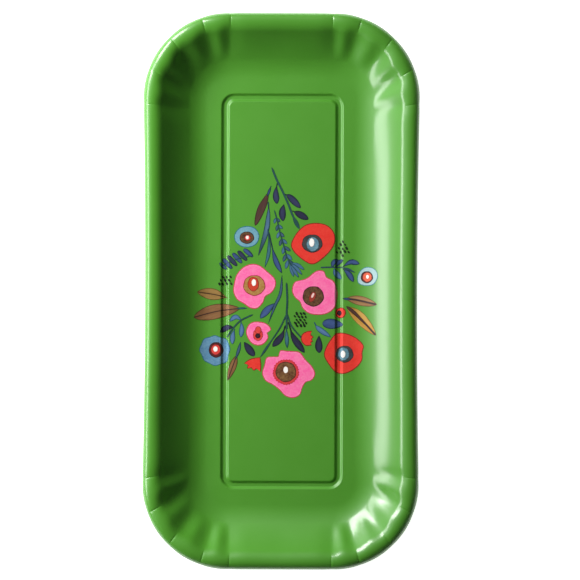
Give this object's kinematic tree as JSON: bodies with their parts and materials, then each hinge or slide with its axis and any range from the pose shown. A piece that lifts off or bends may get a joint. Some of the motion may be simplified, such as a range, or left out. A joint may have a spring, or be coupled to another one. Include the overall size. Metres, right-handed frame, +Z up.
{
  "type": "oblong serving tray",
  "caption": "Oblong green serving tray with pleated corners, a turned-down lip, a grooved floor panel and a painted folk bouquet.",
  "frame": {"origin": "on the surface that the tray stands on, under the middle of its bounding box", "axes": "+Y along the tray's length, towards the bouquet's stem tip; +X across it; +Z up, out of its open side"},
  "size_m": [0.1754, 0.355, 0.0227],
  "materials": {
    "green_melamine": "satin gloss, moulded",
    "red_paint": "satin printed colour",
    "pink_paint": "satin printed colour",
    "sky_paint": "satin printed colour",
    "blue_paint": "satin printed colour",
    "navy_paint": "satin printed colour",
    "brown_paint": "satin printed colour",
    "ochre_paint": "satin printed colour",
    "umber_paint": "satin printed colour",
    "grey_paint": "satin printed colour"
  },
  "bodies": {
    "root": {"tray_body": "green_melamine", "red_flower_upper": "red_paint", "red_flower_upper_eye": "grey_paint", "red_flower_lower": "red_paint", "red_flower_lower_eye": "grey_paint", "red_flower_small": "red_paint", "red_flower_small_eye": "umber_paint", "pink_flower_left": "pink_paint", "pink_flower_left_eye": "ochre_paint", "pink_flower_right": "pink_paint", "pink_flower_right_eye": "umber_paint", "pink_flower_bottom": "pink_paint", "pink_flower_bottom_eye": "brown_paint", "pink_flower_small": "pink_paint", "pink_flower_small_eye": "red_paint", "blue_flower_upper": "sky_paint", "blue_flower_upper_eye": "umber_paint", "blue_flower_right": "sky_paint", "blue_flower_right_eye": "red_paint", "blue_flower_lower": "sky_paint", "blue_flower_lower_eye": "red_paint", "brown_leaf_top": "brown_paint", "brown_leaf_left": "brown_paint", "tan_leaf_left": "ochre_paint", "thin_brown_leaf": "brown_paint", "olive_leaf_right": "ochre_paint", "ochre_leaf_right": "ochre_paint", "navy_leaf_right": "navy_paint", "navy_leaf_low_right": "navy_paint", "navy_leaf_low_left": "navy_paint", "blue_leaf_right": "blue_paint", "top_sprig": "navy_paint", "left_stem_sprig": "blue_paint", "feather_sprig": "blue_paint", "fern_sprig": "navy_paint", "right_blue_sprig": "blue_paint", "left_blue_sprig": "blue_paint", "centre_sprig": "navy_paint", "curved_sprig": "blue_paint", "red_bud_right": "red_paint", "red_bud_left": "red_paint"}
  },
  "joints": []
}
